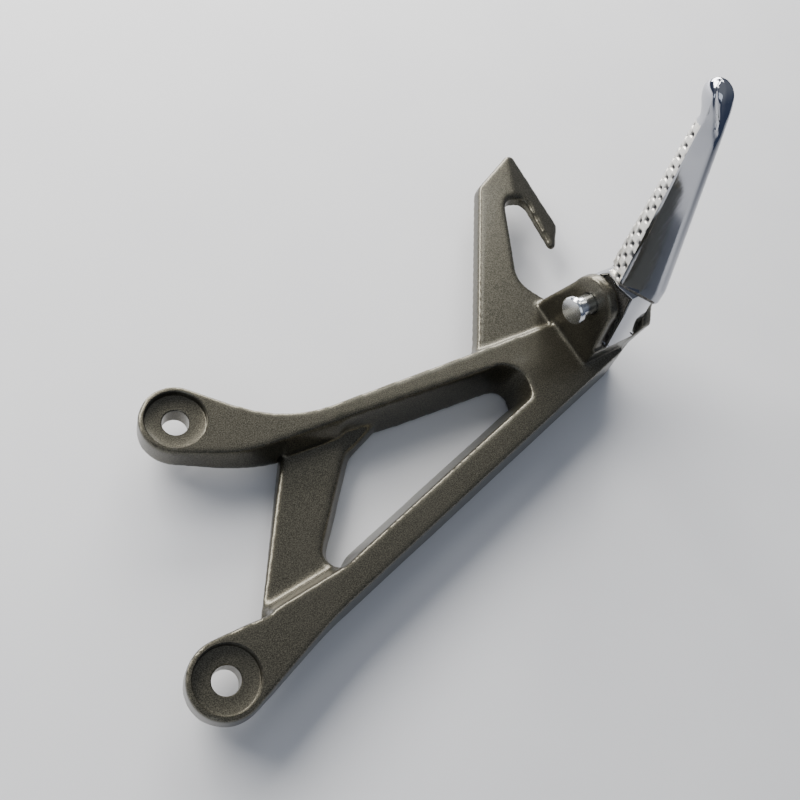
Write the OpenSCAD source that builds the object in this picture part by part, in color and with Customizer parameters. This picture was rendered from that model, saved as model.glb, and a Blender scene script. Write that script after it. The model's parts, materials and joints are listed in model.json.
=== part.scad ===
// Folding passenger foot peg for a motorcycle: a cast bracket with two bolt lugs and a hook,
// and a polished peg that folds on a clevis pin, held by a sprung detent ball.
//
// Frame: the origin is midway between the two bolt holes, on the lugs' mounting faces.
// +Y runs from the lower hole to the upper one, +X towards the clevis, +Z away from the motorcycle.

/* [Bolt lugs] */
// Distance between the two bolt holes
lug_pitch = 83.5; // [83:0.1:84]
// Radius of each bolt lug
lug_r = 12; // [11.5:0.1:12.5]
// Thickness of the bolt lugs
lug_t = 10.5; // [9.5:0.5:11.5]
// Diameter of the bolt holes
bolt_d = 8.8; // [8.4:0.1:9]
// Diameter of the counterbores that take the bolt heads
counterbore_d = 20; // [19:0.5:20.5]
// Depth of the counterbores
counterbore_depth = 3; // [2:0.5:4]

/* [Frame arms] */
// How far the arms reach behind the lugs' mounting faces
arm_back = 8.5; // [7:0.5:9]
// Height of the low web between the arms, above the mounting faces
web_top = 0.8; // [0:0.1:2]
// Height of the hook's front face above the mounting faces
hook_top = 8.5; // [8:0.5:9.5]
// Thickness of the hook
hook_t = 6.5; // [5:0.5:7]

/* [Clevis] */
// Angle between the hinge pin and the X axis
pin_yaw = 16; // [15.5:0.1:16.5]
// Height of the hinge pin's axis above the mounting faces
pin_height = 33.5; // [33:0.1:34]
// Thickness of each clevis ear
ear_t = 5; // [4.5:0.1:5]
// Gap between the two ears
ear_gap = 16; // [15.8:0.1:16.4]
// Radius of the ears round the pin
ear_r = 10.4; // [10:0.1:10.6]

/* [Peg] */
// Lean of the unfolded peg away from the bracket's normal
peg_lean = 14; // [13.5:0.1:14.5]
// Distance from the pin's axis to the peg's end
peg_length = 91; // [89:0.5:96]
// Width of the peg's tread at its root
peg_w = 13.4; // [13:0.1:14]
// Width of the peg's tread at its outer end
peg_end_w = 7.8; // [7:0.1:9]

/* [Pin and detent] */
// Diameter of the hinge pin
pin_d = 8; // [7.8:0.1:8]
// How far the pin floats along its axis
pin_float = 7.3; // [5:0.1:8]
// Diameter of the detent ball
ball_d = 5; // [4.8:0.1:5]

/* [Hidden] */
$fn = 64;
cut = 1;                              // how far cutting tools run past a face
gap = 0.3;                            // between faces that move past each other
fit = 0.05;                           // radial clearance of a running fit
clevis_origin = [152.9, 56.4];        // pin axis at the near ear's outer face
clevis_w = 2 * ear_t + ear_gap;
clevis_top_u = 16.5;                  // the clevis base's face towards the hook
floor_z = 12;                         // clevis floor
stop_z = 19.7;                        // top of the wall that the peg's heel rests on
stop_u = [-14.5, -11.5];              // the stop wall's outer and inner faces
plate_t = 1;                          // click plate
tongue = [ear_t + gap, ear_t + ear_gap - plate_t - gap];
peg_middle = (tongue[0] + tongue[1]) / 2;
track_depth = 0.4;                    // how far the ball dips into the click plate
ball_ring_r = 7.9;                    // from the pin's axis to the ball's axis
ball_angle = 202;                     // of the ball round the pin, clockwise from straight up
ball_f = ear_t + ear_gap - plate_t + track_depth - ball_d / 2;
spring_r = 1.7;
wire_r = 0.35;
pocket_floor_f = 8;                   // blind end of the pocket that holds the spring and ball
head_d = 10.5;
head_t = 2;
washer_t = 1.2;
washer_r = 8;
washer_fit = 0.2;                     // radial clearance of the washer and the click plate
clip_t = 0.8;
groove_r = 3.2;
washer_f = clevis_w + gap;            // washer, clip and pin end follow each other along the pin
clip_f = washer_f + washer_t;
pin_end_past_clip = 2.6;
pin_end_f = clip_f + clip_t + pin_end_past_clip;

// ---- outlines -------------------------------------------------------------------------------

function unit(v) = v / norm(v);

// Points of the arc of radius r that rounds the corner at b, between a and c.
function corner(a, b, c, r) =
    let (u = unit(a - b), w = unit(c - b),
         half = acos(max(-1, min(1, u * w))) / 2,
         reach = r / tan(half),
         centre = b + unit(u + w) * r / sin(half),
         first = b + u * reach - centre,
         last = b + w * reach - centre,
         turn = 180 - 2 * half,
         side = first[0] * last[1] - first[1] * last[0] > 0 ? 1 : -1,
         steps = max(2, ceil(turn / 9)))
    [for (i = [0:steps])
        let (a = side * turn * i / steps)
        centre + [first[0] * cos(a) - first[1] * sin(a), first[0] * sin(a) + first[1] * cos(a)]];

// A closed outline through [x, y, radius] corners; a radius of 0 keeps the corner sharp.
function outline(p) =
    [for (i = [0:len(p) - 1])
        let (n = len(p), a = p[(i + n - 1) % n], b = p[i], c = p[(i + 1) % n])
        each (b[2] == 0 ? [[b[0], b[1]]]
                        : corner([a[0], a[1]], [b[0], b[1]], [c[0], c[1]], b[2]))];

// The two arms: a V that opens at the lugs and closes at the clevis.
arms_plan = outline([
    [7, -lug_pitch / 2 - 9.7, 0], [35.7, -31, 120], [178, 46.9, 0], [152, 62.6, 0],
    [35, 35.6, 45], [5.7, lug_pitch / 2 + 10.5, 0], [-1.8, lug_pitch / 2 - 11.8, 0],
    [19.5, 26.7, 40], [130.5, 48.9, 9], [130.6, 32.6, 4.5], [36.8, -19.9, 60],
    [15, -26.5, 40], [-2.3, -lug_pitch / 2 + 11.8, 0]]);

// The low web that ties the arms together.
web_plan = outline([
    [13.2, -30, 0], [48, -17, 0], [36.9, -11, 6], [56.6, 27.4, 12], [74, 40, 0], [35, 31, 0]]);

// The hook: a stem that rises from the upper arm, and a finger that turns back down.
hook_plan = outline([
    [98, 46, 0], [114.6, 51.5, 18], [143.5, 132.5, 3], [165.2, 151.2, 2.5], [176.2, 114, 3],
    [169.3, 101, 1], [164.6, 128, 5.5], [152.8, 127, 7], [143.6, 84, 12], [155, 73, 0],
    [152, 60, 0]]);

// ---- places ---------------------------------------------------------------------------------

// Clevis frame: x along the hinge pin, y up the motorcycle, z outwards, origin on the pin's axis.
module at_clevis() {
    translate([clevis_origin[0], clevis_origin[1], pin_height]) rotate([0, 0, pin_yaw]) children();
}

// Peg frame: as the clevis frame, with z along the unfolded peg and y towards its tread.
module at_peg() {
    at_clevis() rotate([-peg_lean, 0, 0]) children();
}

// A cylinder along the pin's axis, between two stations.
module along_pin(from, to, r) {
    translate([from, 0, 0]) rotate([0, 90, 0]) cylinder(h = to - from, r = r);
}

// A [y, z] outline as a slab between two stations along the pin.
module cheek(from, to) {
    translate([from, 0, 0]) rotate([90, 0, 90]) linear_extrude(to - from) children();
}

// The detent ball's axis.
module at_ball() {
    at_clevis() rotate([-ball_angle, 0, 0]) translate([0, 0, ball_ring_r]) children();
}

// ---- bracket --------------------------------------------------------------------------------

module ear_profile(foot) {
    base = floor_z - pin_height;
    circle(r = ear_r);
    polygon(concat([[clevis_top_u, base], [ear_r, 0], [-ear_r, 0]], foot, [[stop_u[0], base]]));
}

module clevis_solid() {
    base = -arm_back - pin_height;
    translate([0, stop_u[0], base])
        cube([clevis_w, clevis_top_u - stop_u[0], floor_z - pin_height - base]);
    translate([0, stop_u[0], base])
        cube([clevis_w, stop_u[1] - stop_u[0], stop_z - pin_height - base]);
    cheek(0, ear_t) ear_profile([[-13.3, -14]]);
    cheek(ear_t + ear_gap, clevis_w) ear_profile([[-15.5, -7]]);
}

module bracket() {
    color([0.2, 0.2, 0.2]) difference() {
        union() {
            difference() {
                translate([0, 0, -arm_back]) {
                    linear_extrude(lug_t + arm_back) polygon(arms_plan);
                    linear_extrude(web_top + arm_back) polygon(web_plan);
                }
                rising_back();
            }
            sloped_wall([33.8, 29.7], [56, 34.1], 2, -1);
            sloped_wall([16.8, -25.5], [42, -16.8], 3, 1);
            hook();
            for (side = [-1, 1])
                translate([0, side * lug_pitch / 2, 0]) cylinder(h = lug_t, r = lug_r);
            at_clevis() clevis_solid();
        }
        for (side = [-1, 1]) translate([0, side * lug_pitch / 2, 0]) {
            translate([0, 0, -cut]) cylinder(h = lug_t + 2 * cut, d = bolt_d);
            translate([0, 0, lug_t - counterbore_depth])
                cylinder(h = counterbore_depth + cut, d = counterbore_d);
        }
        at_clevis() along_pin(-cut, clevis_w + cut, pin_d / 2 + fit);
    }
}

// The arms' backs rise to the lugs' mounting faces on the way from the web to the lugs.
module rising_back() {
    full_depth_x = 41;
    level_x = lug_r + 1;
    reach = 60;
    translate([0, 1.5 * lug_pitch, 0]) rotate([90, 0, 0]) linear_extrude(3 * lug_pitch)
        polygon([[full_depth_x, -arm_back], [level_x, 0], [-reach, 0],
                 [-reach, -arm_back - cut], [full_depth_x, -arm_back - cut]]);
}

// Slopes an arm's inner wall beside the web, from one point on the wall to another, so that its foot
// stands reach further out. The web lies to the left of that line when side is 1, else to its right.
module sloped_wall(from, to, reach, side) {
    inside = 2.5;
    run = to - from;
    translate([from[0], from[1], web_top]) rotate([90, 0, atan2(run[1], run[0]) + 90])
        linear_extrude(norm(run))
            polygon([[-side * inside, -inside], [side * reach, -inside], [side * reach, 0],
                     [0, lug_t - web_top], [-side * inside, lug_t - web_top]]);
}

// The finger's front face falls away from a crease that runs from the hook's point to its slot.
module hook() {
    crease = [163, 149.7];
    crease_turn = 11;
    facet_fall = 13;
    cutter = [30, 70, 20];
    below_point = 10;
    difference() {
        translate([0, 0, hook_top - hook_t]) linear_extrude(hook_t) polygon(hook_plan);
        translate([crease[0], crease[1], hook_top]) rotate([0, 0, -crease_turn])
            rotate([0, facet_fall, 0]) translate([0, below_point - cutter[1], 0]) cube(cutter);
    }
}

// ---- peg ------------------------------------------------------------------------------------

// One cross-section of the peg: a crowned tread over sides that draw in to a narrow keel.
module peg_section(z, top, edge, bottom, half_w) {
    keel_half_w = 1.8;
    translate([peg_middle, 0, z]) linear_extrude(0.2) polygon(concat(
        [for (a = [0:15:180]) [half_w * cos(a), edge + (top - edge) * sin(a)]],
        [for (s = [-1, 1]) [s * keel_half_w, bottom]]));
}

module peg_body() {
    tip_r = 4;
    tip_reach = 5;                    // how far the rounded end's top lies from the peg's end
    tip_ys = [-2.8, -4.8];            // the rounded end's top, and its middle
    tread_end = peg_length - 12;
    root = 10.4;
    root_edge = -4.4;
    difference() {
        hull() {
            peg_section(root, 5, root_edge, -18, peg_w / 2);
            peg_section(root + 5.6, 4.4, -4.5, -18.6, peg_w / 2);
            peg_section(tread_end, -1.4, -5.6, -11.1, peg_end_w / 2);
        }
        // the tread's root end slopes back, so that it clears the bracket when the peg folds
        translate([-cut, root_edge, root]) rotate([27, 0, 0]) translate([0, 0, -20])
            cube([clevis_w + 2 * cut, 30, 20]);
    }
    // the rounded end stands up past the tread, to keep a boot from sliding off
    hull() {
        peg_section(tread_end - 1, -2.6, -5.6, -11.2, peg_end_w / 2);
        translate([peg_middle, tip_ys[0], peg_length - tip_reach]) sphere(r = tip_r, $fn = 32);
        translate([peg_middle, tip_ys[1], peg_length - tip_r]) sphere(r = tip_r, $fn = 32);
    }
}

// The tongue between the ears, and the heel that bears on the stop wall.
module peg_root() {
    underside = -12.3;
    round_r = 9.5;
    width = tongue[1] - tongue[0];
    along_pin(tongue[0], tongue[1], round_r);
    translate([tongue[0], underside, 0]) cube([width, 2 - underside, 12]);
    rotate([peg_lean, 0, 0]) translate([tongue[0], stop_u[0], stop_z + gap - pin_height])
        cube([width, 8.5, pin_height - stop_z - gap + 2]);
}

module foot_peg() {
    color([0.78, 0.8, 0.82]) difference() {
        at_peg() {
            peg_body();
            peg_root();
        }
        at_clevis() along_pin(-cut, clevis_w + cut, pin_d / 2 + fit);
        at_ball() along_pin(pocket_floor_f, tongue[1] + cut, ball_d / 2 + fit);
    }
}

// ---- hinge pin and its fastenings -----------------------------------------------------------

module hinge_pin() {
    head_f = -pin_float - gap;
    chamfer = 0.6;
    color([0.8, 0.82, 0.84]) at_clevis() difference() {
        union() {
            along_pin(head_f - head_t, head_f, head_d / 2);
            along_pin(head_f - 0.1, pin_end_f - chamfer, pin_d / 2);
            translate([pin_end_f - chamfer, 0, 0]) rotate([0, 90, 0])
                cylinder(h = chamfer, r1 = pin_d / 2, r2 = pin_d / 2 - chamfer);
        }
        difference() {
            along_pin(clip_f, clip_f + clip_t, pin_d);
            along_pin(clip_f - cut, clip_f + clip_t + cut, groove_r);
        }
    }
}

module pin_washer() {
    color([0.72, 0.73, 0.74]) at_clevis() difference() {
        along_pin(washer_f, washer_f + washer_t, washer_r);
        along_pin(washer_f - cut, washer_f + washer_t + cut, pin_d / 2 + washer_fit);
    }
}

// An E-clip: three inner lobes grip the pin's groove, and the mouth lets it push on sideways.
module retaining_clip() {
    outer_r = 6.4;
    relief_r = 4.6;
    mouth = 5.6;
    lobe_turn = 120;
    color([0.25, 0.25, 0.27]) at_clevis() difference() {
        along_pin(clip_f, clip_f + clip_t, outer_r);
        along_pin(clip_f - cut, clip_f + clip_t + cut, groove_r + 0.02);
        translate([clip_f - cut, -mouth / 2, -outer_r - cut])
            cube([clip_t + 2 * cut, mouth, outer_r + cut]);
        for (side = [-1, 1]) rotate([side * lobe_turn / 2, 0, 0])
            translate([0, 0, relief_r - 1.2]) along_pin(clip_f - cut, clip_f + clip_t + cut, 1.2);
    }
}

// ---- detent ---------------------------------------------------------------------------------

module detent_ball() {
    color([0.85, 0.86, 0.88]) at_ball() translate([ball_f, 0, 0]) sphere(d = ball_d);
}

// A helical wire swept along the ball's axis, from the pocket's floor to the ball.
module detent_spring() {
    sides = 8;
    turns = 5;
    steps = 12 * turns;
    from = pocket_floor_f + wire_r + fit;
    to = ball_f - sqrt(pow(ball_d / 2 + wire_r + fit, 2) - spring_r * spring_r);
    ring = function (i)
        let (a = 360 * turns * i / steps, f = from + (to - from) * i / steps)
        [for (j = [0:sides - 1])
            let (b = 360 * j / sides, r = spring_r + wire_r * cos(b))
            [f + wire_r * sin(b), r * cos(a), r * sin(a)]];
    color([0.6, 0.61, 0.63]) at_ball() polyhedron(
        [for (i = [0:steps]) each ring(i)],
        concat(
            [[for (j = [0:sides - 1]) sides - 1 - j]],
            [[for (j = [0:sides - 1]) steps * sides + j]],
            [for (i = [0:steps - 1]) for (j = [0:sides - 1])
                [i * sides + j, i * sides + (j + 1) % sides,
                 (i + 1) * sides + (j + 1) % sides, (i + 1) * sides + j]]));
}

// A hardened plate on the far ear's inner face, with the rolled track that the ball runs in.
module click_plate() {
    plate_r = 10;
    half_w = 8;
    track_fit = 0.1;
    from = ear_t + ear_gap - plate_t;
    color([0.55, 0.56, 0.58]) at_clevis() difference() {
        union() {
            along_pin(from, from + plate_t, plate_r);
            translate([from, -half_w, floor_z - pin_height])
                cube([plate_t, 2 * half_w, pin_height - floor_z]);
        }
        along_pin(from - cut, from + plate_t + cut, pin_d / 2 + washer_fit);
        translate([ball_f, 0, 0]) rotate([0, 90, 0])
            rotate_extrude() translate([ball_ring_r, 0]) circle(r = ball_d / 2 + track_fit);
    }
}

bracket();
foot_peg();
hinge_pin();
pin_washer();
retaining_clip();
detent_ball();
detent_spring();
click_plate();
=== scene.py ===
# %% [markdown]
# # A folding passenger foot peg
#
# On a motorcycle this part carries a passenger's foot. A painted cast bracket bolts to the frame by
# two lugs. At its far end two ears hold a hinge pin, and a polished peg with a knurled tread folds
# about that pin. The working model of the part, its joints and its sizes are already made. This
# lesson builds the looks over it: each piece is modelled again at the same place, with the round
# edges of the real thing, then given a finish.
#
# Lengths in this script are in millimetres until a mesh is made, and MM turns them into Blender's
# metres.

import json
import math

import bpy
import numpy as np
from mathutils import Matrix, Vector


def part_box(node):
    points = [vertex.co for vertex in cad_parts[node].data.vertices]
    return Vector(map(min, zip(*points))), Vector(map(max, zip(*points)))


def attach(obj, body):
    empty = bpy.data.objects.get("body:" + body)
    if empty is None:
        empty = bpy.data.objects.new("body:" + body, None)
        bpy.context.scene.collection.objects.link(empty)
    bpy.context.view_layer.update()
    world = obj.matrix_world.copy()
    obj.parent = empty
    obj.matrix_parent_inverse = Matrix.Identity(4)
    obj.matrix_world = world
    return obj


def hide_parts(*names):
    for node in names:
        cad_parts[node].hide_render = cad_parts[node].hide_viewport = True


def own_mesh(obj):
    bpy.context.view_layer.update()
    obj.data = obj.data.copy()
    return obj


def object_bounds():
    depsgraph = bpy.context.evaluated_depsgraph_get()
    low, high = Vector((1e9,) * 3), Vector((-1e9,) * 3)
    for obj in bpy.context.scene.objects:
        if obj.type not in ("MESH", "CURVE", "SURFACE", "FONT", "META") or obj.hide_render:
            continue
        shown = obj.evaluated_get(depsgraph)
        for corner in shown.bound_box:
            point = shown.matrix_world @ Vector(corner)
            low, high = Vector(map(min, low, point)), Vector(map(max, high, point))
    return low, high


MM = 0.001
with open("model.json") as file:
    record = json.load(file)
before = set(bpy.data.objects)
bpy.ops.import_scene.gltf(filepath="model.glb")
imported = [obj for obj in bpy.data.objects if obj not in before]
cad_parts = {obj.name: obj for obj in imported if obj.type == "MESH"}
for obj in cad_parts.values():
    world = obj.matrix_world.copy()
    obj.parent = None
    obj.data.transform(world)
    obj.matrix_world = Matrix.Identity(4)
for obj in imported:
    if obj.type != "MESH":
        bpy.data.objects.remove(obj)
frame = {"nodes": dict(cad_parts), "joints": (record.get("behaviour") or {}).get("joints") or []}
cad_box = [list(corner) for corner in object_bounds()]
print("nodes:", sorted(frame["nodes"]))

# %% [markdown]
# ## Where things are
#
# The hinge pin gives a natural frame for everything near the clevis: `along` runs along the pin,
# `up` is up on the motorcycle, and z points away from it. The peg itself leans towards `up` by 14
# degrees when it is out, so it gets a frame of its own whose z runs from root to tip and whose y
# points out of the tread. Both frames come from the hinge joint in the working model, so the pieces
# land where the joint turns.

# %% Frames of the clevis and of the peg
hinge = next(joint for joint in frame["joints"] if joint["name"] == "peg_fold")
pin_centre = Vector(hinge["pos_m"])
along = -Vector(hinge["axis"]).normalized()
up = Vector((0, 0, 1)).cross(along)
PEG_LEAN = math.radians(14)

clevis_frame = Matrix.Translation(pin_centre) @ Matrix((along, up, (0, 0, 1))).transposed().to_4x4()
peg_frame = clevis_frame @ Matrix.Rotation(-PEG_LEAN, 4, "X")
EAR = 5.0
EAR_GAP = 16.0
CLEVIS_WIDTH = 2 * EAR + EAR_GAP
LUG_TOP = 10.5
LUG_Y = 41.75
print("pin axis through", [round(v / MM, 1) for v in pin_centre], "mm")

# %% [markdown]
# ## Small tools
#
# Operators act on whatever is selected, so every helper starts by clearing the selection and picks
# its own object. `lathe` draws half a profile and spins it, which is how turned parts such as pins
# and washers are really made. It is also used for cutters, because a drilled and counterbored hole
# is a turned shape too.

# %% Selection, modifiers and edit mode
def only(*pieces):
    """Selects just these objects, and makes the first one active."""
    bpy.ops.object.select_all(action="DESELECT")
    for piece in pieces:
        piece.select_set(True)
    bpy.context.view_layer.objects.active = pieces[0]


def modify(piece, kind, **settings):
    """Adds one modifier, sets it and applies it."""
    only(piece)
    modifier = piece.modifiers.new(kind.title(), kind)
    for name, value in settings.items():
        setattr(modifier, name, value)
    bpy.ops.object.modifier_apply(modifier=modifier.name)
    return piece


def edit(piece, *steps):
    """Runs mesh operators in edit mode, each on the whole piece."""
    only(piece)
    bpy.ops.object.mode_set(mode="EDIT")
    for step in steps:
        bpy.ops.mesh.select_all(action="SELECT")
        step()
    bpy.ops.object.mode_set(mode="OBJECT")
    return piece


def merge_doubles(distance=0.001):
    bpy.ops.mesh.remove_doubles(threshold=distance * MM)


def face_outwards():
    bpy.ops.mesh.normals_make_consistent(inside=False)


def move_mesh(piece, matrix):
    """Puts a piece's place into its mesh, and leaves its object at the origin."""
    piece.data.transform(matrix @ piece.matrix_world)
    piece.matrix_world = Matrix.Identity(4)
    return piece


# %% Turned and flat shapes
def mesh_from(name, points, edges=(), faces=()):
    """A new object from points in millimetres."""
    mesh = bpy.data.meshes.new(name)
    mesh.from_pydata([Vector(p) * MM for p in points], list(edges), list(faces))
    piece = bpy.data.objects.new(name, mesh)
    bpy.context.scene.collection.objects.link(piece)
    return piece


def lathe(name, profile, place, steps=96):
    """Spins a closed profile of [radius, height] points round z, then puts it in place."""
    points = [(radius, 0, height) for radius, height in profile]
    count = len(points)
    piece = mesh_from(name, points, [(i, (i + 1) % count) for i in range(count)])
    edit(
        piece,
        lambda: bpy.ops.mesh.spin(
            steps=steps, angle=2 * math.pi, center=(0, 0, 0), axis=(0, 0, 1), use_auto_merge=False
        ),
        merge_doubles,
        lambda: bpy.ops.mesh.dissolve_degenerate(threshold=0.0005 * MM),
        face_outwards,
    )
    return move_mesh(piece, place)


def slab(name, outline, thickness, place):
    """A flat outline of [x, y] points, made solid along z by extruding its face."""
    points = [(x, y, 0) for x, y in outline]
    piece = mesh_from(name, points, faces=[range(len(points))])
    edit(
        piece,
        lambda: bpy.ops.mesh.extrude_region_move(
            TRANSFORM_OT_translate={"value": (0, 0, thickness * MM)}
        ),
        face_outwards,
    )
    return move_mesh(piece, place)


# %% Cutting, joining and copying
def cut(piece, *cutters):
    """Takes the cutters' shapes out of the piece."""
    for cutter in cutters:
        modify(piece, "BOOLEAN", operation="DIFFERENCE", solver="EXACT", object=cutter)
        bpy.data.objects.remove(cutter)
    return piece


def join(piece, *others):
    only(piece, *others)
    bpy.ops.object.join()
    return piece


def cad_copy(node, name):
    """A merged copy of a node of the working model, to shape further."""
    copy = bpy.data.objects.new(name, frame["nodes"][node].data.copy())
    copy.data.materials.clear()
    bpy.context.scene.collection.objects.link(copy)
    return edit(copy, merge_doubles)


def bolt_place(side):
    """Where a lug's bolt hole is: side is 1 for the upper lug and -1 for the lower one."""
    return Matrix.Translation(Vector((0, side * LUG_Y, 0)) * MM)


def across(station=0.0):
    """Turns a lathe's axis to run along the pin, starting at a station on it."""
    start = Matrix.Translation(Vector((station, 0, 0)) * MM)
    return clevis_frame @ start @ Matrix.Rotation(math.radians(90), 4, "Y")


# %% [markdown]
# ## The bracket: a casting
#
# The real bracket is poured into a mould, so it has no sharp edges: every outside edge is round,
# and every inside corner has a fillet that lets the metal flow. A bevel modifier could round the
# edges of the working model, but it makes a mess where many faces meet, and it can't make fillets
# between pieces that merely overlap. A voxel remesh followed by smoothing does both at once, like
# polishing clay. The remesh works in small cubes, and an edge that runs almost along the cubes
# comes out with long steps. So the bracket is turned 30 degrees first, where no edge runs along
# them, and turned back afterwards.
#
# Machined features must stay crisp, though. So the holes are plugged first, the clay is smoothed,
# and the holes are drilled again afterwards with turned cutters, which is the order the foundry
# works in too.

# %% Plug the holes, add the boss round the pin and make the clay
VOXEL = 0.7
LUG_PLUG = 11
BORE_PLUG = 4.6
BOSS = 6.4
BOSS_PROUD = 0.25


def plug(name, radius, low, high, place):
    """A plain round plug between two heights."""
    return lathe(name, [(0, low), (radius, low), (radius, high), (0, high)], place)


bracket = cad_copy("bracket", "cast_bracket")
plugs = [plug("lug_plug", LUG_PLUG, 0.4, LUG_TOP, bolt_place(side)) for side in (-1, 1)]
plugs.append(plug("near_ear_plug", BORE_PLUG, 0.2, EAR, across()))
plugs.append(plug("near_ear_boss", BOSS, -BOSS_PROUD, 1, across()))
plugs.append(plug("far_ear_plug", BORE_PLUG, 0, EAR - 0.2, across(EAR + EAR_GAP)))
join(bracket, *plugs)
askew = Matrix.Rotation(math.radians(30), 4, "Z")
move_mesh(bracket, askew)
modify(bracket, "REMESH", mode="VOXEL", voxel_size=VOXEL * MM, adaptivity=0)
move_mesh(bracket, askew.inverted())
print("bracket as clay:", len(bracket.data.polygons), "faces")

# %% [markdown]
# ### Draft
#
# A casting can only leave its mould if its walls slope, so each wall flares towards the back of the
# bracket. The slope is made by moving every wall point outwards, along its own level normal, by an
# amount that grows with its depth below the front face. Faces that point up or down have no level
# normal, so they stay flat. Walls that bound the openings between the arms slope more, because the
# mould's core has to pull out of them. The web lies lower than the arms, so its walls are measured
# from its own top, and its inner wall slopes most.

# %% Slope the walls
OUTER_DRAFT = math.tan(math.radians(6))
INNER_DRAFT = math.tan(math.radians(11.5))
WEB_DRAFT = math.tan(math.radians(25))
WEB_TOP = 0.8
WEB_FROM = 14
WEB_TO = 64
ARMS_SLOPE = 0.31


def add_draft(piece, top):
    """Slopes a piece's walls outwards below a height, and gives the furthest move in millimetres."""
    count = len(piece.data.vertices)
    place = np.empty(count * 3, np.float32)
    normal = np.empty(count * 3, np.float32)
    piece.data.vertices.foreach_get("co", place)
    piece.data.vertex_normals.foreach_get("vector", normal)
    place = place.reshape(-1, 3) / MM
    normal = normal.reshape(-1, 3)
    x, y, z = place.T
    side = np.clip((y - ARMS_SLOPE * x) / 8, -1, 1)
    between_arms = -side * (normal[:, 1] - ARMS_SLOPE * normal[:, 0])
    draft = OUTER_DRAFT + (INNER_DRAFT - OUTER_DRAFT) * np.clip(between_arms, 0, 1)
    beside_web = np.clip((50 - x) / 8, 0, 1) * np.clip((x - 8) / 8, 0, 1)
    beside_web = beside_web * np.clip(between_arms * (side < 0), 0, 1)
    spread = draft * np.clip(top - z, 0, None) * (1 - beside_web)
    on_web = (x > WEB_FROM) & (x < WEB_TO)
    on_web = on_web * np.clip(4 * np.abs(normal[:, 0]) - 2.6, 0, 1)
    web_draft = np.where(normal[:, 0] > 0, WEB_DRAFT, OUTER_DRAFT)
    spread += (web_draft * np.clip(WEB_TOP - z, 0, None) - spread) * on_web
    beyond_lugs = np.clip((x + 4) / 16, 0, 1)
    place[:, :2] += normal[:, :2] * (spread * beyond_lugs)[:, None]
    piece.data.vertices.foreach_set("co", (place * MM).astype(np.float32).ravel())
    piece.data.update()
    return float((spread * beyond_lugs).max())


print("walls moved out by up to", round(add_draft(bracket, LUG_TOP), 1), "mm")

# %% [markdown]
# ### Round the edges, and fillet the web
#
# A few light smoothing passes round every edge by about a millimetre. Some places have larger
# fillets: the web's junctions, the corner where the web runs out into the upper arm, and the near
# ear's outer edge. Each gets its own vertex group and more passes. A group's weight fades out over
# a few millimetres, which keeps the passes from leaving a line.

# %% Weights for smoothing
WEB_CORNER = (56, 33, 3)


def fade(value, low, high):
    """0 below low, 1 above high, and a smooth rise between them."""
    t = np.clip((value - low) / (high - low), 0, 1)
    return t * t * (3 - 2 * t)


def weigh(piece, name, weight):
    """Stores one weight for each vertex in a vertex group."""
    group = piece.vertex_groups.new(name=name)
    levels = np.round(weight * 20).astype(int)
    for level in range(1, 21):
        group.add(np.flatnonzero(levels == level).tolist(), level / 20, "REPLACE")


def points_of(piece):
    """A piece's points in millimetres."""
    flat = np.empty(len(piece.data.vertices) * 3, np.float32)
    piece.data.vertices.foreach_get("co", flat)
    return flat.reshape(-1, 3) / MM


# %% Smooth the clay
modify(bracket, "SMOOTH", factor=0.5, iterations=12)
spots = points_of(bracket)
in_web = fade(spots[:, 0], 12, 20) * fade(-spots[:, 0], -82, -70) * fade(-spots[:, 2], -7, -4)
in_web *= fade(-np.abs(spots[:, 1] - 4), -44, -36)
weigh(bracket, "fillets", in_web)
modify(bracket, "SMOOTH", factor=0.5, iterations=18, vertex_group="fillets")
spots = points_of(bracket)
weigh(bracket, "web_corner", fade(-np.linalg.norm(spots - WEB_CORNER, axis=1), -9, -4))
modify(bracket, "SMOOTH", factor=0.5, iterations=60, vertex_group="web_corner")
spots = points_of(bracket)
clevis_turn = np.array(clevis_frame.inverted().to_3x3())
in_clevis = (spots - np.array(pin_centre) / MM) @ clevis_turn.T
near_ear_edge = fade(-in_clevis[:, 0], -3.6, -2) * fade(in_clevis[:, 2], -16, -10)
near_ear_edge *= fade(-in_clevis[:, 2], -30, -25)
near_ear_edge *= fade(-np.linalg.norm(in_clevis[:, 1:], axis=1), -18, -16)
weigh(bracket, "near_ear", near_ear_edge)
modify(bracket, "SMOOTH", factor=0.5, iterations=16, vertex_group="near_ear")
print("bracket smoothed:", len(bracket.data.vertices), "points")

# %% [markdown]
# ### Drill the holes
#
# A cutter with a small cone at each rim leaves a broken edge, which catches a thin line of light
# round the counterbore just as it does on a machined part.

# %% Bolt holes, counterbores and the pin's bores
def bolt_cutter(side):
    """The hole and the counterbore of one lug, with broken edges."""
    bore, head, floor = 4.4, 10.0, LUG_TOP - 3.0
    edge = 0.35
    return lathe(
        "bolt_cutter",
        [
            (0, -6), (bore + edge + 1, -6), (bore + edge, 0), (bore, edge), (bore, floor - edge),
            (bore + edge, floor), (head - 0.5, floor), (head - 0.15, floor + 0.15), (head, floor + 0.5),
            (head, LUG_TOP - edge), (head + edge + 1, LUG_TOP + 1), (0, LUG_TOP + 1),
        ],
        bolt_place(side),
    )


def pin_cutter(station, length):
    """A bore for the hinge pin, from a station on its axis."""
    bore, edge = 4.05, 0.4
    return lathe(
        "pin_cutter",
        [
            (0, -1), (bore + edge + 1, -1), (bore, edge), (bore, length - edge),
            (bore + edge + 1, length + 1), (0, length + 1),
        ],
        across(station),
    )


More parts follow.
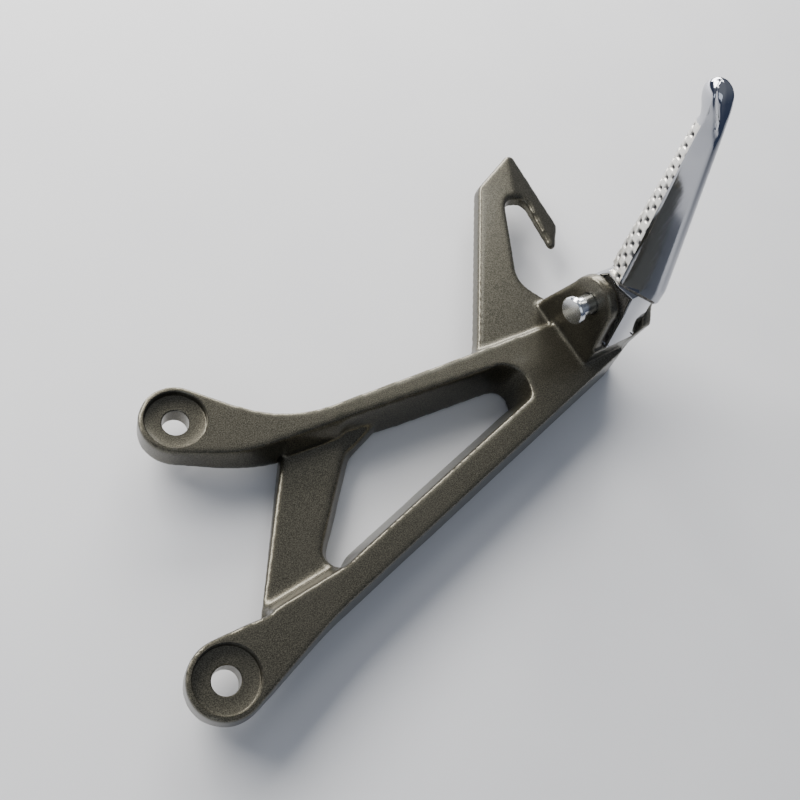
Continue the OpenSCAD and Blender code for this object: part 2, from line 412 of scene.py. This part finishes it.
near_bore = pin_cutter(-BOSS_PROUD, EAR + BOSS_PROUD)
far_bore = pin_cutter(EAR + EAR_GAP, EAR)
cut(bracket, bolt_cutter(-1), bolt_cutter(1), near_bore, far_bore)
only(bracket)
bpy.ops.object.shade_smooth_by_angle(angle=math.radians(32))
print("bracket drilled:", len(bracket.data.polygons), "faces")

# %% [markdown]
# ## The peg's blade
#
# The blade is one smooth casting: a crowned tread on top, two flat flanks that draw in to a narrow
# keel, and a rounded end that stands up past the tread so that a boot can't slide off. It could be
# carved from a block, but it is easier to see it as one cross-section that changes from root to
# tip. A flat grid is added, and each of its rows is wrapped into the cross-section at that distance
# along the blade. `stations` below says how the section's measures change. Tread, edge and keel are
# heights above the pin's axis: of the crown's top, of the corners between the crown and the flanks,
# and of the narrow lower side.

# %% The cross-section along the blade
TIP = 91.0
ROOT = 10.4
ROOT_EDGE = -4.4
ROOT_SLOPE = math.tan(math.radians(27))
MIDDLE = (EAR + 0.3 + EAR + EAR_GAP - 1.3) / 2
stations = {
    "z": (10.4, 16.0, 30.0, 75.0, 78.0, 80.5, 83.5, 86.5, 91.0),
    "half_width": (6.7, 6.5, 5.95, 4.1, 3.85, 3.75, 4.0, 4.1, 4.1),
    "tread": (4.9, 4.4, 3.05, -1.1, -2.1, -1.1, 0.8, 1.3, 1.3),
    "edge": (-4.4, -4.5, -4.7, -5.5, -5.7, -5.7, -5.6, -5.3, -5.0),
    "keel": (-18.0, -18.5, -16.9, -11.5, -10.9, -10.3, -9.4, -8.4, -7.8),
    "keel_half": (1.8, 1.8, 1.8, 1.8, 1.8, 2.0, 2.5, 2.8, 2.8),
}


def measure(name, z):
    """A measure of the section at z, with its corners softened by averaging over two millimetres."""
    shifts = np.linspace(-1, 1, 5)
    return sum(np.interp(z + shift, stations["z"], stations[name]) for shift in shifts) / len(shifts)


print("half width halfway along:", round(float(measure("half_width", 50)), 2), "mm")


# %% [markdown]
# ### The knurl
#
# The tread's grip is cast in as a diamond knurl: two families of grooves cross at a slant, and what
# is left between them are small raised lozenges. A bump map would look flat at the tread's edge,
# where the lozenges break the outline, so the grooves are real: each point of the tread is pushed
# in where it lies near a groove. How deep it lies is also stored on the point, for the finish to
# paint shade into the grooves and make them rougher. The pattern is worked out on the developed
# surface, so its lozenges keep their size round the crown.

# %% Groove pattern
LOZENGE_WIDTH = 5.4
KNURL_DEPTH = 0.9
TREAD_END = 77.0


def lozenges_passed(z):
    """How many lozenges lie between the root and z. They shorten from 5.7 to 4.3 mm towards the tip."""
    return 7.0 * (z - ROOT) / 40 + 0.055 * np.clip(z - 45, 0, 30)


def lozenge_height(round_crown, z):
    """0 in a pit and 1 on a lozenge, for a place on the developed tread."""
    first = round_crown / LOZENGE_WIDTH + lozenges_passed(z)
    second = round_crown / LOZENGE_WIDTH - lozenges_passed(z)
    ridges = [np.abs(2 * (way % 1) - 1) for way in (first, second)]
    return fade((ridges[0] + ridges[1]) / 2, 0.08, 0.52)


print("lozenges along the tread:", round(float(lozenges_passed(TREAD_END) - lozenges_passed(ROOT)), 1))


# %% [markdown]
# ### Wrap the grid
#
# Each row of the grid goes round the section: up one flank, over the crown, down the other flank
# and across the keel. Near the tip the section shrinks like a ball, and at the root the crown
# starts further out than the flanks, because the real tread is cut back there to clear the bracket
# when the peg folds. The tip's paddle stands a little proud of the flanks, behind a slanting line
# that is ground in by hand.

# %% One cross-section
CROWN_STEPS = 84
FLANK_STEPS = 9


def section(z):
    """Points [x, y] round the section at z, with the crown's developed length at each."""
    half, tread, edge, keel = (measure(name, z) for name in ("half_width", "tread", "edge", "keel"))
    angle = np.linspace(math.pi, 0, CROWN_STEPS + 1)
    crown = np.stack([half * np.cos(angle), edge + (tread - edge) * np.sin(angle)], 1)
    length = np.concatenate([[0], np.cumsum(np.linalg.norm(np.diff(crown, axis=0), axis=1))])
    share = np.linspace(0, 1, FLANK_STEPS + 1)[:-1, None]
    keel_half = measure("keel_half", z)
    left, right = np.array([-keel_half, keel + 0.7]), np.array([keel_half, keel + 0.7])
    rise = left * (1 - share) + crown[0] * share
    fall = crown[-1] + (right - crown[-1]) * (share + share[1])
    foot = np.array([[keel_half * s, keel + 0.7 * abs(s) ** 3] for s in (0.8, 0.45, 0, -0.45, -0.8)])
    outline = np.concatenate([rise, crown, fall, foot])
    crown_length = np.full(len(outline), np.nan)
    crown_length[len(rise):len(rise) + len(crown)] = length - length[-1] / 2
    return outline, crown_length


# %% A flat grid to wrap
ROWS = 300
ring = section(ROOT)[0]
RING = len(ring)
root_start = ROOT + ROOT_SLOPE * np.clip(ring[:, 1] - ROOT_EDGE, 0, None)
bpy.ops.object.select_all(action="DESELECT")
bpy.ops.mesh.primitive_grid_add(x_subdivisions=RING, y_subdivisions=ROWS)
blade = bpy.context.object
blade.name = "polished_peg"
print("grid of", len(blade.data.vertices), "points for", RING + 1, "round and", ROWS + 1, "along")

# %% The shape of one row
TIP_ROUND = 5.4
TIP_CENTRE = -3.3
FILLET_START = 89.1
FILLET_LEAN = 2.3
PADDLE_RAISE = 0.35


def on_flank(outline):
    """1 on the flat flanks and 0 on the crown and across the keel."""
    return fade(-outline[:, 1], 3.6, 5.2) * fade(np.abs(outline[:, 0]), 1.2, 2.0)


def shaped_row(row):
    """One row's points and how deep each lies in a groove. Row 0 is the root, the last row the tip."""
    if row == 0:
        return np.tile([0, ROOT_EDGE, ROOT, 0], (RING, 1))
    share = (row - 1) / (ROWS - 1)
    share = 1 - (1 - share) ** 1.08
    z = root_start + (TIP - root_start) * share
    nominal = ROOT + (TIP - ROOT) * share
    outline, crown_length = section(nominal)
    centre = np.array([0, TIP_CENTRE])
    shrink = math.sqrt(max(0, 1 - (max(0, nominal - TIP + TIP_ROUND) / TIP_ROUND) ** 2))
    on_crown = ~np.isnan(crown_length)
    tangent = np.roll(outline, -1, 0) - np.roll(outline, 1, 0)
    outwards = np.stack([-tangent[:, 1], tangent[:, 0]], 1)
    outwards /= np.linalg.norm(outwards, axis=1)[:, None]
    grip = fade(z, 11, 12.5) * fade(-z, -TREAD_END, 2 - TREAD_END)
    groove = np.zeros(RING)
    groove[on_crown] = 1 - lozenge_height(crown_length[on_crown], z[on_crown])
    groove *= grip
    above_edge = fade(outline[:, 1] - measure("edge", nominal), 0.2, 1.6)
    depth = KNURL_DEPTH * groove * above_edge
    past_fillet = z - (FILLET_START + FILLET_LEAN * (outline[:, 1] + 5))
    depth -= on_flank(outline) * PADDLE_RAISE * fade(past_fillet, 0, 1.6)
    depth += on_flank(outline) * 0.2 * fade(past_fillet, -2.4, -0.4) * fade(-past_fillet, -1.2, 0.4)
    outline = outline - outwards * depth[:, None]
    outline = centre + (outline - centre) * shrink
    return np.column_stack([outline, z, groove])


# %% Wrap the grid
rows = np.array([shaped_row(row) for row in range(ROWS + 1)])
wrapped = np.concatenate([rows, rows[:, :1]], axis=1)
wrapped[..., 0] += MIDDLE
blade.data.vertices.foreach_set("co", (wrapped[..., :3] * MM).astype(np.float32).ravel())
grooves = blade.data.attributes.new("groove", "FLOAT", "POINT")
grooves.data.foreach_set("value", wrapped[..., 3].astype(np.float32).ravel())
blade.data.update()
edit(blade, lambda: merge_doubles(0.002), face_outwards)
print("blade:", len(blade.data.polygons), "faces")

# %% [markdown]
# ## The peg's root
#
# Between the ears the peg is a plain tongue, bored for the pin, with a heel that rests on the
# bracket's stop wall when the peg is out. Its sides stay as they were cast, inside a raised rim,
# and the rest is polished. The tongue is one outline: a round about the pin, a neck up to the
# blade, and the heel down to the stop.

# %% Build the tongue
TONGUE = (EAR + 0.3, EAR + EAR_GAP - 1.3)
STOP_TOP = 19.7


def turned(point, angle):
    """A point of an outline, turned about the pin's axis."""
    x, y = point
    return (x * math.cos(angle) - y * math.sin(angle), x * math.sin(angle) + y * math.cos(angle))


pin_height = pin_centre.z / MM
heel_low = STOP_TOP + 0.3 - pin_height
heel_corners = ((-6.2, heel_low), (-14.3, heel_low), (-14.9, heel_low + 0.6))
heel = [turned(point, PEG_LEAN) for point in heel_corners]
neck = [(-12.3, 3.0), (-12.3, 10.7), (-4.6, 10.7), (1.2, 13.2), (4.4, 9.0)]
round_end = [
    (9.5 * math.cos(a), 9.5 * math.sin(a)) for a in np.radians(np.linspace(62, -118, 31))
]
tongue_outline = round_end + heel + neck
tongue = slab("tongue", tongue_outline, TONGUE[1] - TONGUE[0], Matrix.Identity(4))
print("tongue outline of", len(tongue_outline), "points")

# %% Sink the cast sides inside a rim, then stand the tongue in place
TONGUE_RIM = 1.1
SIDES_DEEP = 0.5


def select_faces(piece, test):
    """Selects the faces whose centre and normal pass the test, in edit mode's face mode."""
    only(piece)
    bpy.ops.object.mode_set(mode="EDIT")
    bpy.ops.mesh.select_mode(type="FACE")
    bpy.ops.mesh.select_all(action="DESELECT")
    bpy.ops.object.mode_set(mode="OBJECT")
    for face in piece.data.polygons:
        face.select = test(face.center, face.normal)
    bpy.ops.object.mode_set(mode="EDIT")


select_faces(tongue, lambda centre, normal: abs(normal.z) > 0.9)
bpy.ops.mesh.inset(thickness=TONGUE_RIM * MM, depth=0)
bpy.ops.mesh.inset(thickness=0.3 * MM, depth=-SIDES_DEEP * MM)
bpy.ops.object.mode_set(mode="OBJECT")
modify(tongue, "BEVEL", width=0.3 * MM, segments=2, limit_method="ANGLE", angle_limit=math.radians(50))
to_peg = Matrix(((0, 0, 1, TONGUE[0] * MM), (1, 0, 0, 0), (0, 1, 0, 0), (0, 0, 0, 1)))
move_mesh(tongue, peg_frame @ to_peg)
move_mesh(blade, peg_frame)
cut(tongue, pin_cutter(TONGUE[0], TONGUE[1] - TONGUE[0]))
join(blade, tongue)
only(blade)
bpy.ops.object.shade_smooth_by_angle(angle=math.radians(38))
print("peg:", len(blade.data.polygons), "faces")

# %% [markdown]
# ## Hinge pin, washer and clip
#
# These are bought-in hardware: a headed pin turned from bar, a pressed washer and an E-clip that
# snaps into the pin's groove. The pin and the washer are lathe work. The clip is a flat outline
# with three inner lobes.

# %% Turn the pin and the washer
stations_on_pin = [clevis_frame.inverted() @ v.co for v in frame["nodes"]["hinge_pin"].data.vertices]
pin_start = min(p.x for p in stations_on_pin) / MM
pin_end = max(p.x for p in stations_on_pin) / MM
HEAD = 5.25
SHANK = 4.0
GROOVE = 3.2
washer_at = CLEVIS_WIDTH + 0.3
clip_at = washer_at + 1.2
hinge_pin = lathe(
    "turned_hinge_pin",
    [
        (0, pin_start), (HEAD - 0.5, pin_start), (HEAD, pin_start + 0.5),
        (HEAD, pin_start + 1.8), (HEAD - 0.2, pin_start + 2.0),
        (SHANK + 0.25, pin_start + 2.0), (SHANK, pin_start + 2.25), (SHANK, clip_at - 0.12),
        (SHANK - 0.12, clip_at), (GROOVE, clip_at), (GROOVE, clip_at + 0.8),
        (SHANK - 0.12, clip_at + 0.8), (SHANK, clip_at + 0.92), (SHANK, pin_end - 0.7),
        (SHANK - 0.6, pin_end), (0, pin_end),
    ],
    across(),
)
washer = lathe(
    "pressed_washer",
    [
        (4.2, 0.2), (4.4, 0), (7.7, 0), (8, 0.25), (8, 1.0), (7.8, 1.2), (4.35, 1.2), (4.2, 1.05),
    ],
    across(washer_at),
)
print("pin runs from", round(pin_start, 1), "to", round(pin_end, 1), "mm along its axis")

# %% Press the clip
def soften_corners(piece):
    """Breaks the sharp corners of a pressed piece by 0.12 mm."""
    corner = math.radians(50)
    modify(piece, "BEVEL", width=0.12 * MM, segments=2, limit_method="ANGLE", angle_limit=corner)


clip = cad_copy("retaining_clip", "e_clip")
modify(clip, "DECIMATE", decimate_type="DISSOLVE", angle_limit=math.radians(3))
soften_corners(clip)
print("clip pressed from", len(frame["nodes"]["retaining_clip"].data.polygons), "faces")

# %% [markdown]
# ## Detent ball, spring and click plate
#
# The ball stands half out of its pocket and runs in a track in the click plate. They are hidden
# while the part is together, but they show when the peg is folded, so they are made properly. The
# spring is a curve along a helix, whose last turns close up flat, as a real compression spring's
# do.

# %% The ball
BALL_RADIUS = 2.5
ball_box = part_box("detent_ball")
ball_centre = (ball_box[0] + ball_box[1]) / 2
bpy.ops.object.select_all(action="DESELECT")
bpy.ops.mesh.primitive_uv_sphere_add(
    segments=48, ring_count=24, radius=BALL_RADIUS * MM, location=ball_centre
)
ball = bpy.context.object
ball.name = "steel_ball"
move_mesh(ball, Matrix.Identity(4))
only(ball)
bpy.ops.object.shade_smooth()
print("ball at", [round(v / MM, 1) for v in ball_centre], "mm")

# %% The spring
POCKET_FLOOR = 8
BALL_STATION = (clevis_frame.inverted() @ ball_centre).x / MM
WIRE = 0.35
COIL = 1.7
TURNS = 6.5
CLEAR = 0.05
spring_from = POCKET_FLOOR + WIRE + CLEAR
spring_to = BALL_STATION - math.sqrt((BALL_RADIUS + WIRE + CLEAR) ** 2 - COIL**2)
spring_curve = bpy.data.curves.new("wound_spring", "CURVE")
spring_curve.dimensions = "3D"
spring_curve.bevel_depth = WIRE * MM
spring_curve.bevel_resolution = 4
spring_curve.use_fill_caps = True
spline = spring_curve.splines.new("POLY")
SPRING_STEPS = 160
spline.points.add(SPRING_STEPS)
spring_origin = ball_centre - along * BALL_STATION * MM
for i in range(SPRING_STEPS + 1):
    share = i / SPRING_STEPS
    turn = 2 * math.pi * TURNS * share
    closed_up = float(fade(np.array([share]), 0.1, 0.9)[0]) * 0.5 + share * 0.5
    station = spring_from + (spring_to - spring_from) * closed_up
    offset = along * station + up * COIL * math.cos(turn) + Vector((0, 0, COIL * math.sin(turn)))
    spline.points[i].co = (*(spring_origin + offset * MM), 1)
spring = bpy.data.objects.new("wound_spring", spring_curve)
bpy.context.scene.collection.objects.link(spring)
only(spring)
bpy.ops.object.convert(target="MESH")
spring = bpy.context.object
bpy.ops.object.shade_smooth()
print("spring runs from", round(spring_from, 2), "to", round(spring_to, 2), "mm along the pin's axis")

# %% The click plate
click_plate = cad_copy("click_plate", "hardened_click_plate")
soften_corners(click_plate)
for hard_piece in (hinge_pin, washer, clip, click_plate):
    only(hard_piece)
    bpy.ops.object.shade_smooth_by_angle(angle=math.radians(35))
    print(hard_piece.name, "has", len(hard_piece.data.polygons), "faces")

# %% [markdown]
# ## Shader maths
#
# A finish is a small network of nodes. Wiring it by hand hides the idea, so two small classes let a
# finish be written as an expression: `Value` wraps a number socket, and adding or multiplying it
# adds a Math node. `Finish` holds one material and has one method that adds any other node.

# %% Values
class Value:
    """A number in a shader. Python's operators add Math nodes."""

    def __init__(self, finish, socket):
        self.finish = finish
        self.socket = socket

    def maths(self, operation, *operands, clamp=False):
        """Adds one Math node on these operands."""
        node = self.finish.tree.nodes.new("ShaderNodeMath")
        node.operation = operation
        node.use_clamp = clamp
        for entry, operand in zip(node.inputs, operands):
            self.finish.feed(entry, operand)
        return Value(self.finish, node.outputs[0])

    def __add__(self, other):
        return self.maths("ADD", self, other)

    def __sub__(self, other):
        return self.maths("SUBTRACT", self, other)

    def __rsub__(self, other):
        return self.maths("SUBTRACT", other, self)

    def __mul__(self, other):
        return self.maths("MULTIPLY", self, other)

    __radd__ = __add__
    __rmul__ = __mul__

    def between(self, low, high):
        """0 below low, 1 above high, and a straight rise between them."""
        return self.maths("MULTIPLY", self - low, 1 / (high - low), clamp=True)


# %% Finishes
class Finish:
    """One material: its main shader's sockets, and the nodes that feed them."""

    def __init__(self, name, **sockets):
        self.material = bpy.data.materials.new(name)
        self.material.use_nodes = True
        self.tree = self.material.node_tree
        self.shader = self.tree.nodes["Principled BSDF"]
        self.set(**sockets)
        self.place = self.node("ShaderNodeTexCoord").outputs["Object"]

    def feed(self, entry, value):
        """Links a Value or a socket to an entry, or sets the entry to a plain value."""
        if isinstance(value, Value):
            value = value.socket
        if isinstance(value, bpy.types.NodeSocket):
            self.tree.links.new(value, entry)
        else:
            entry.default_value = value

    def set(self, **sockets):
        """Sets sockets of the main shader: base_color sets Base Color."""
        for name, value in sockets.items():
            self.feed(self.shader.inputs[name.replace("_", " ").title()], value)

    def node(self, kind, settings=None, inputs=None):
        """Adds any node: its settings are set first, then its sockets are fed."""
        node = self.tree.nodes.new(kind)
        for name, value in (settings or {}).items():
            setattr(node, name, value)
        for name, value in (inputs or {}).items():
            self.feed(node.inputs[name], value)
        return node

    def noise(self, size, detail=2.0, stretch=(1, 1, 1), **inputs):
        """Noise whose blobs are about size millimetres across, longer where stretch is smaller."""
        scaled = self.node(
            "ShaderNodeVectorMath", {"operation": "MULTIPLY"}, {0: self.place, 1: stretch}
        ).outputs[0]
        entries = {"Vector": scaled, "Scale": 1 / (size * MM), "Detail": detail, **inputs}
        return Value(self, self.node("ShaderNodeTexNoise", inputs=entries).outputs["Fac"])

    def mix(self, factor, first, second):
        """A colour between two colours."""
        node = self.node("ShaderNodeMix", {"data_type": "RGBA"}, {"Factor": factor})
        self.feed(node.inputs[6], first)
        self.feed(node.inputs[7], second)
        return node.outputs[2]

    def bump(self, height, strength, distance):
        """Roughens the surface by a height in the range 0 to 1, over a distance in millimetres."""
        entries = {"Height": height, "Strength": strength, "Distance": distance * MM}
        self.feed(self.shader.inputs["Normal"], self.node("ShaderNodeBump", inputs=entries).outputs[0])

    def edges(self, low, high):
        """0 on flat metal and 1 on its convex edges."""
        return Value(self, self.node("ShaderNodeNewGeometry").outputs["Pointiness"]).between(low, high)


# %% [markdown]
# ## The bracket's paint
#
# The bracket is sprayed a dark charcoal with a fine metal flake, under a semi-gloss lacquer. Three
# things make it read as paint on a casting: grains of flake that differ in brightness, a slight
# orange peel in the lacquer, and paler edges, which stand partly for thinner lacquer and partly for
# a painted highlight along the rims. Dust settles in larger, fainter clouds.

# %% Charcoal metallic paint
paint = Finish("charcoal_metallic_paint", metallic=0.82, coat_weight=0.2, coat_roughness=0.12)
flake = paint.noise(0.36, detail=3).between(0.38, 0.68)
cloud = paint.noise(24, detail=3)
# Convex rims are painted paler: partly thin or worn lacquer, partly a painted highlight along the
# edges.
edge_wear_and_highlight = paint.edges(0.53, 0.62)
flake_colour = paint.mix(flake, (0.044, 0.041, 0.031, 1), (0.142, 0.133, 0.102, 1))
dusty_colour = paint.mix(cloud.between(0.45, 0.75) * 0.3, flake_colour, (0.088, 0.082, 0.066, 1))
paint.set(
    base_color=paint.mix(edge_wear_and_highlight * 0.2, dusty_colour, (0.26, 0.25, 0.225, 1)),
    roughness=0.27 + flake * 0.05 - edge_wear_and_highlight * 0.04 + cloud * 0.08,
)
paint.bump(paint.noise(0.46, detail=2) * 0.5 + paint.noise(2.6) * 0.6, strength=0.12, distance=0.1)
print("paint made of", len(paint.tree.nodes), "nodes")

# %% [markdown]
# ## Metals
#
# Polished aluminium is nearly a mirror, but hand polishing leaves faint hairlines along the part
# and a soft haze. Where the wheel can't reach, the metal stays satin or as cast, and the grooves
# between the lozenges get a painted shade. Plated steel is brighter and greyer, spring steel is
# dark, and ground steel shows fine parallel scratches.

# %% Polished aluminium
polish = Finish("polished_aluminium", metallic=1.0)
hairline = polish.noise(0.5, detail=4, stretch=(1, 1, 0.06))
haze = polish.noise(14, detail=3).between(0.4, 0.8)
polish.set(
    base_color=polish.mix(haze, (0.45, 0.46, 0.49, 1), (0.40, 0.41, 0.45, 1)),
    roughness=0.045 + hairline.between(0.5, 0.8) * 0.05 + haze * 0.06,
)
polish.bump(hairline, strength=0.03, distance=0.05)

# %% Satin aluminium, for the tread
tread_metal = Finish("satin_tread_aluminium", metallic=1.0)
grit = tread_metal.noise(0.7, detail=4)
stored_depth = tread_metal.node("ShaderNodeAttribute", {"attribute_name": "groove"})
# The stored groove depth paints shade into the grooves between the lozenges, and makes them rougher.
painted_groove_shade = Value(tread_metal, stored_depth.outputs["Fac"]).between(0.2, 0.75)
worn_tread = tread_metal.mix(grit.between(0.35, 0.7), (0.82, 0.80, 0.75, 1), (0.68, 0.67, 0.64, 1))
tread_metal.set(
    base_color=tread_metal.mix(painted_groove_shade, worn_tread, (0.06, 0.06, 0.065, 1)),
    roughness=0.27 + grit * 0.14 + painted_groove_shade * 0.25,
)
tread_metal.bump(grit, strength=0.08, distance=0.06)

# %% Aluminium as cast, for the tongue's sides
as_cast = Finish("as_cast_aluminium", metallic=0.9)
sand = as_cast.noise(0.5, detail=4)
as_cast.set(
    base_color=as_cast.mix(sand.between(0.4, 0.65), (0.10, 0.095, 0.085, 1), (0.30, 0.29, 0.27, 1)),
    roughness=0.48 + sand * 0.2,
)
as_cast.bump(sand, strength=0.6, distance=0.25)
print("aluminium in three finishes, of", len(polish.tree.nodes), "nodes and more")


# %% Plated, spring and ground steel
def steel(name, pale, dark, gloss, scratch_size, stretch):
    """A steel between two greys, with fine scratches and a faint bloom."""
    finish = Finish(name, metallic=1.0)
    scratch = finish.noise(scratch_size, detail=4, stretch=stretch)
    bloom = finish.noise(3.5, detail=3)
    finish.set(
        base_color=finish.mix(bloom.between(0.35, 0.7), pale, dark),
        roughness=gloss + scratch.between(0.4, 0.8) * 0.06 + bloom * 0.05,
    )
    finish.bump(scratch, strength=0.01, distance=0.02)
    return finish.material


ROUND_GRAIN = (1, 1, 1)
LONG_GRAIN = (1, 1, 0.1)
zinc = steel("bright_zinc_plate", (0.70, 0.72, 0.75, 1), (0.64, 0.66, 0.69, 1), 0.12, 0.5, ROUND_GRAIN)
spring_steel = steel(
    "dark_spring_steel", (0.20, 0.20, 0.21, 1), (0.12, 0.12, 0.13, 1), 0.26, 0.4, ROUND_GRAIN
)
bearing_steel = steel(
    "ground_bearing_steel", (0.82, 0.83, 0.84, 1), (0.76, 0.77, 0.79, 1), 0.05, 0.8, ROUND_GRAIN
)
plate_steel = steel(
    "hardened_plate_steel", (0.42, 0.43, 0.45, 1), (0.30, 0.31, 0.33, 1), 0.24, 0.4, LONG_GRAIN
)
print("steels:", [finish.name for finish in (zinc, spring_steel, bearing_steel, plate_steel)])

# %% [markdown]
# ## Finishes on pieces
#
# The peg takes three finishes by face: the tread's crown is satin, the tongue's sunken sides are as
# cast, and all the rest is polished. Faces are told apart in the peg's own frame, by where they lie
# and which way they point.

# %% Give each piece its finish
TREAD_START = 11.5
TONGUE_END = 11.7
TONGUE_HALF_GIRTH = 6.9
POLISHED_FACE = 0
TREAD_FACE = 1
CAST_FACE = 2
for material in (polish.material, tread_metal.material, as_cast.material):
    blade.data.materials.append(material)
to_peg_frame = peg_frame.inverted()
peg_turn = to_peg_frame.to_3x3()
for face in blade.data.polygons:
    centre = (to_peg_frame @ face.center) / MM
    facing = peg_turn @ face.normal
    on_tread = TREAD_START < centre.z < TREAD_END and centre.y > measure("edge", centre.z) + 0.05
    on_tongue = centre.z < TONGUE_END and abs(centre.x - MIDDLE) < TONGUE_HALF_GIRTH
    if on_tread:
        face.material_index = TREAD_FACE
    elif on_tongue and abs(facing.x) > 0.6:
        face.material_index = CAST_FACE
    else:
        face.material_index = POLISHED_FACE

for piece, material in (
    (bracket, paint.material), (hinge_pin, zinc), (washer, zinc), (clip, spring_steel),
    (ball, bearing_steel), (spring, spring_steel), (click_plate, plate_steel),
):
    piece.data.materials.clear()
    piece.data.materials.append(material)
print("finishes:", sorted(m.name for m in bpy.data.materials if m.users))

# %% [markdown]
# ## Tie the pieces to the working model
#
# Each piece rides on the body it belongs to and stands for one node of the working model, which
# is hidden. The table also lists the record's material slot for each piece, which nothing reads.

# %% Ride on the bodies, and hide the replaced nodes
for piece, body, node, slot in (
    (bracket, "bracket", "bracket", "bracket_paint"),
    (click_plate, "bracket", "click_plate", "hardened_plate"),
    (blade, "peg", "foot_peg", "polished_aluminium"),
    (spring, "peg", "detent_spring", "spring_steel"),
    (hinge_pin, "pin", "hinge_pin", "zinc_plate"),
    (washer, "pin", "pin_washer", "zinc_plate"),
    (clip, "pin", "retaining_clip", "spring_steel"),
    (ball, "ball", "detent_ball", "bearing_steel"),
):
    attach(piece, body)
    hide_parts(node)
    print(piece.name, "rides on", body)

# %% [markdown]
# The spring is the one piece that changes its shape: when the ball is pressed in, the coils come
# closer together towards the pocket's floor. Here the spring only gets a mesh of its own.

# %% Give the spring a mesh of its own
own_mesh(spring)

# %% [markdown]
# ## Studio
#
# A pale floor, a large soft window light from the upper left, a long low strip behind the part, a
# small high light and a weak fill, under a cool sky. The strip is what draws the thin bright lines
# along the far rims. Polished metal shows only what surrounds it, so the sky fades from a bright
# top to a deeper blue at the horizon.

# %% Floor and lights
FLOOR_Z = cad_box[0][2]
bpy.ops.object.select_all(action="DESELECT")
bpy.ops.mesh.primitive_plane_add(size=3, location=(0.08, 0.05, FLOOR_Z))
floor = bpy.context.object
floor.name = "floor"
pale = Finish("pale_floor", roughness=0.75)
pale.set(base_color=pale.mix(pale.noise(60, detail=2), (0.62, 0.63, 0.66, 1), (0.68, 0.69, 0.71, 1)))
floor.data.materials.append(pale.material)


def soft_light(name, place, aim, size, power, colour):
    """An area light at a place in metres, turned to face its aim."""
    data = bpy.data.lights.new(name, "AREA")
    data.shape = "RECTANGLE"
    data.size, data.size_y = size
    data.energy = power
    data.color = colour
    light = bpy.data.objects.new(name, data)
    light.location = place
    light.rotation_euler = (Vector(aim) - Vector(place)).to_track_quat("-Z", "Y").to_euler()
    bpy.context.scene.collection.objects.link(light)


middle = (0.09, 0.04, 0.02)
soft_light("window", (-0.42, 0.72, 0.62), middle, (0.8, 0.5), 20, (1.0, 0.97, 0.92))
soft_light("far_strip", (0.22, 0.98, 0.36), middle, (0.9, 0.42), 20, (1.0, 0.97, 0.92))
soft_light("high_window", (0.44, 0.60, 0.70), middle, (0.25, 0.25), 1.1, (1.0, 1.0, 0.98))
soft_light("fill", (-0.5, -0.7, 0.7), middle, (0.6, 0.6), 1.5, (0.85, 0.92, 1.0))
print("lights:", len(bpy.data.lights))

# %% Sky
world = bpy.data.worlds.new("studio_sky")
bpy.context.scene.world = world
world.use_nodes = True
sky = world.node_tree
background = sky.nodes["Background"]
direction = sky.nodes.new("ShaderNodeTexCoord").outputs["Generated"]
height = sky.nodes.new("ShaderNodeSeparateXYZ")
sky.links.new(direction, height.inputs[0])
ramp = sky.nodes.new("ShaderNodeValToRGB")
ramp.color_ramp.elements[0].position = 0.0
ramp.color_ramp.elements[0].color = (0.16, 0.21, 0.36, 1)
ramp.color_ramp.elements[1].position = 0.85
ramp.color_ramp.elements[1].color = (0.80, 0.85, 0.95, 1)
sky.links.new(height.outputs["Z"], ramp.inputs[0])
sky.links.new(ramp.outputs["Color"], background.inputs["Color"])
SKY_STRENGTH = 0.36
background.inputs["Strength"].default_value = SKY_STRENGTH
print("sky strength", SKY_STRENGTH)

# %% [markdown]
# ## Camera
#
# The camera looks down at the part from the lug end, turned a little about its own axis, with a
# lens slightly longer than normal for its sensor.

# %% Camera
eye = Vector((-40.3, -80.7, 273.5)) * MM
aim = Vector((82.2, 42.6, 0)) * MM
ROLL = math.radians(32.4)
camera_data = bpy.data.cameras.new("camera")
camera_data.lens = 39.6
camera_data.sensor_width = 36
camera_data.clip_start = 0.005
camera = bpy.data.objects.new("camera", camera_data)
look = (aim - eye).to_track_quat("-Z", "Y").to_matrix().to_4x4()
camera.matrix_world = Matrix.Translation(eye) @ look @ Matrix.Rotation(ROLL, 4, "Z")
bpy.context.scene.collection.objects.link(camera)
bpy.context.scene.camera = camera
print("camera stands", round((aim - eye).length / MM), "mm from what it looks at")

# %% Print the working model's box, and finish
print("cad box   ", [[round(v / MM, 1) for v in corner] for corner in cad_box])
